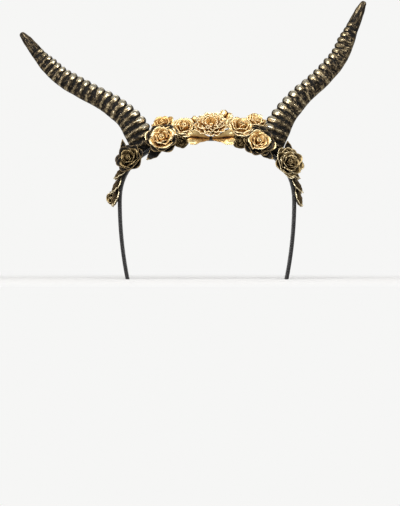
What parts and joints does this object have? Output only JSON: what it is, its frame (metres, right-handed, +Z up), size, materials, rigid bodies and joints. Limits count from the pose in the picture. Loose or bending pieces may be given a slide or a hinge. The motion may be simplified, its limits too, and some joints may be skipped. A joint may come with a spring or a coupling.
{
  "type": "horned flower headband",
  "caption": "Hair band with long ribbed horns that curve outwards and a garland of gold and black fabric roses, buds and leaves along its crown and sides.",
  "frame": {"origin": "centre of the bounding box, on the surface that the ends of the band stand on", "axes": "+Z up through the crown of the band, -Y towards the front of the garland, +X across the band to the right as seen from the front"},
  "size_m": [0.3142, 0.0438, 0.2515],
  "materials": {
    "ribbon": "black satin ribbon",
    "horn": "dark brown, dry-brushed with gold paint",
    "gold": "stiff petals painted bright gold",
    "antique": "stiff petals painted dark antique gold",
    "black": "black petals with worn edges"
  },
  "bodies": {
    "root": {"band": "ribbon", "horn_left": "horn", "horn_right": "horn", "bloom_centre": "gold", "rose_left_inner": "gold", "rose_right_inner": "gold", "rose_left_front": "gold", "rose_right_front": "gold", "rose_left_back": "gold", "rose_right_back": "gold", "rose_left_side": "antique", "rose_right_side": "antique", "cup_left_front": "black", "cup_right_front": "black", "cup_left_back": "black", "cup_right_back": "black", "cup_left_side": "black", "cup_right_side": "antique", "bud_left": "antique", "bud_right": "antique", "bud_low": "antique", "leaf_centre_low_left": "gold", "leaf_centre_low_right": "gold", "leaf_centre_top_left": "gold", "leaf_centre_top_right": "gold", "leaf_left_front": "black", "leaf_right_front": "black", "leaf_left_horn": "black", "leaf_right_horn": "black", "leaf_left_inner": "black", "leaf_right_inner": "black", "leaf_left_fore_1": "antique", "leaf_left_fore_2": "antique", "leaf_left_fore_3": "antique", "leaf_left_aft_1": "antique", "leaf_left_aft_2": "antique", "leaf_left_aft_3": "antique", "leaf_right_fore_1": "antique", "leaf_right_fore_2": "antique", "leaf_right_fore_3": "antique", "leaf_right_aft_1": "antique", "leaf_right_aft_2": "antique", "leaf_right_aft_3": "antique"}
  },
  "joints": []
}
